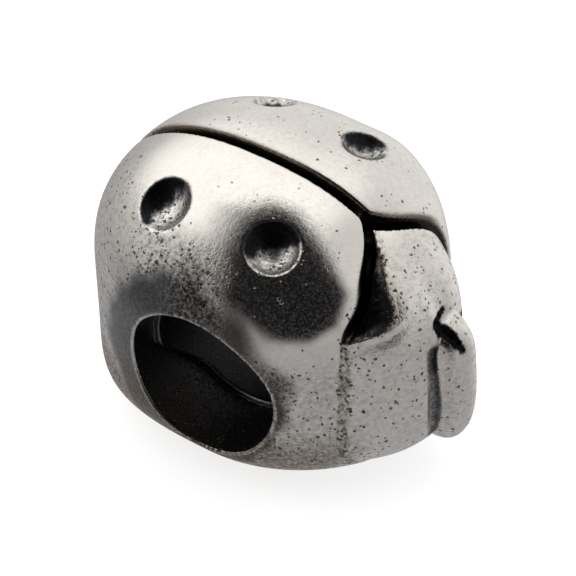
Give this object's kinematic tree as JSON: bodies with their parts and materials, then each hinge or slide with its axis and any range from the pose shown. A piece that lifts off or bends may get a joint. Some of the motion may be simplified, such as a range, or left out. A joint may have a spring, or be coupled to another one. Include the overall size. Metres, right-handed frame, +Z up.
{
  "type": "charm bead",
  "caption": "Ladybird-shaped slide-on charm bead in antiqued silver-coloured metal, with a wide bore for a bracelet and a flat base.",
  "frame": {"origin": "on the bore's axis, halfway between the bore's two mouths", "axes": "+X along the bore, -Y towards the ladybird's head, +Z up out of its back"},
  "size_m": [0.0088, 0.0122, 0.0088],
  "materials": {
    "cast_metal": "polished cast silver-coloured alloy, darkened in its grooves, spots and pores"
  },
  "bodies": {
    "root": {"bead": "cast_metal"}
  },
  "joints": []
}
